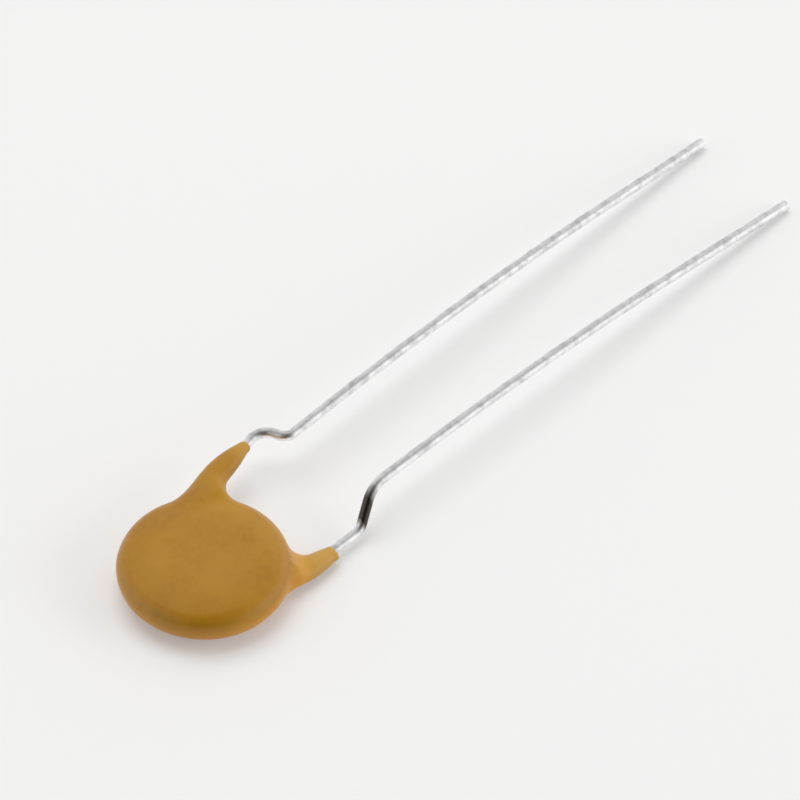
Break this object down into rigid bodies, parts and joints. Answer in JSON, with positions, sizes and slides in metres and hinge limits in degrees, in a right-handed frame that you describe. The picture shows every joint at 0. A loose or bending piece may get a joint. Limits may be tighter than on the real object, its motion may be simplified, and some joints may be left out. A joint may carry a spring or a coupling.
{
  "type": "disc varistor",
  "caption": "Resin-dipped ceramic disc with tapered coating legs and long crimped radial wire leads, lying on its face.",
  "frame": {"origin": "middle of the flat of the rear coated face, on which the part rests", "axes": "+X along the leads, away from the disc; +Z out of the front face, upwards as the part lies; +Y towards the front lead's side"},
  "size_m": [0.0402, 0.0082, 0.0024],
  "materials": {
    "resin_coating": "semi-gloss ochre dipped resin, slightly mottled",
    "ceramic": "dark grey sintered ceramic",
    "silver_print": "matt fired silver",
    "solder": "satin solder",
    "tinned_wire": "bright tinned wire"
  },
  "bodies": {
    "root": {"coating": "resin_coating", "ceramic_disc": "ceramic", "front_electrode": "silver_print", "rear_electrode": "silver_print", "front_solder": "solder", "rear_solder": "solder", "front_lead": "tinned_wire", "rear_lead": "tinned_wire"}
  },
  "joints": []
}
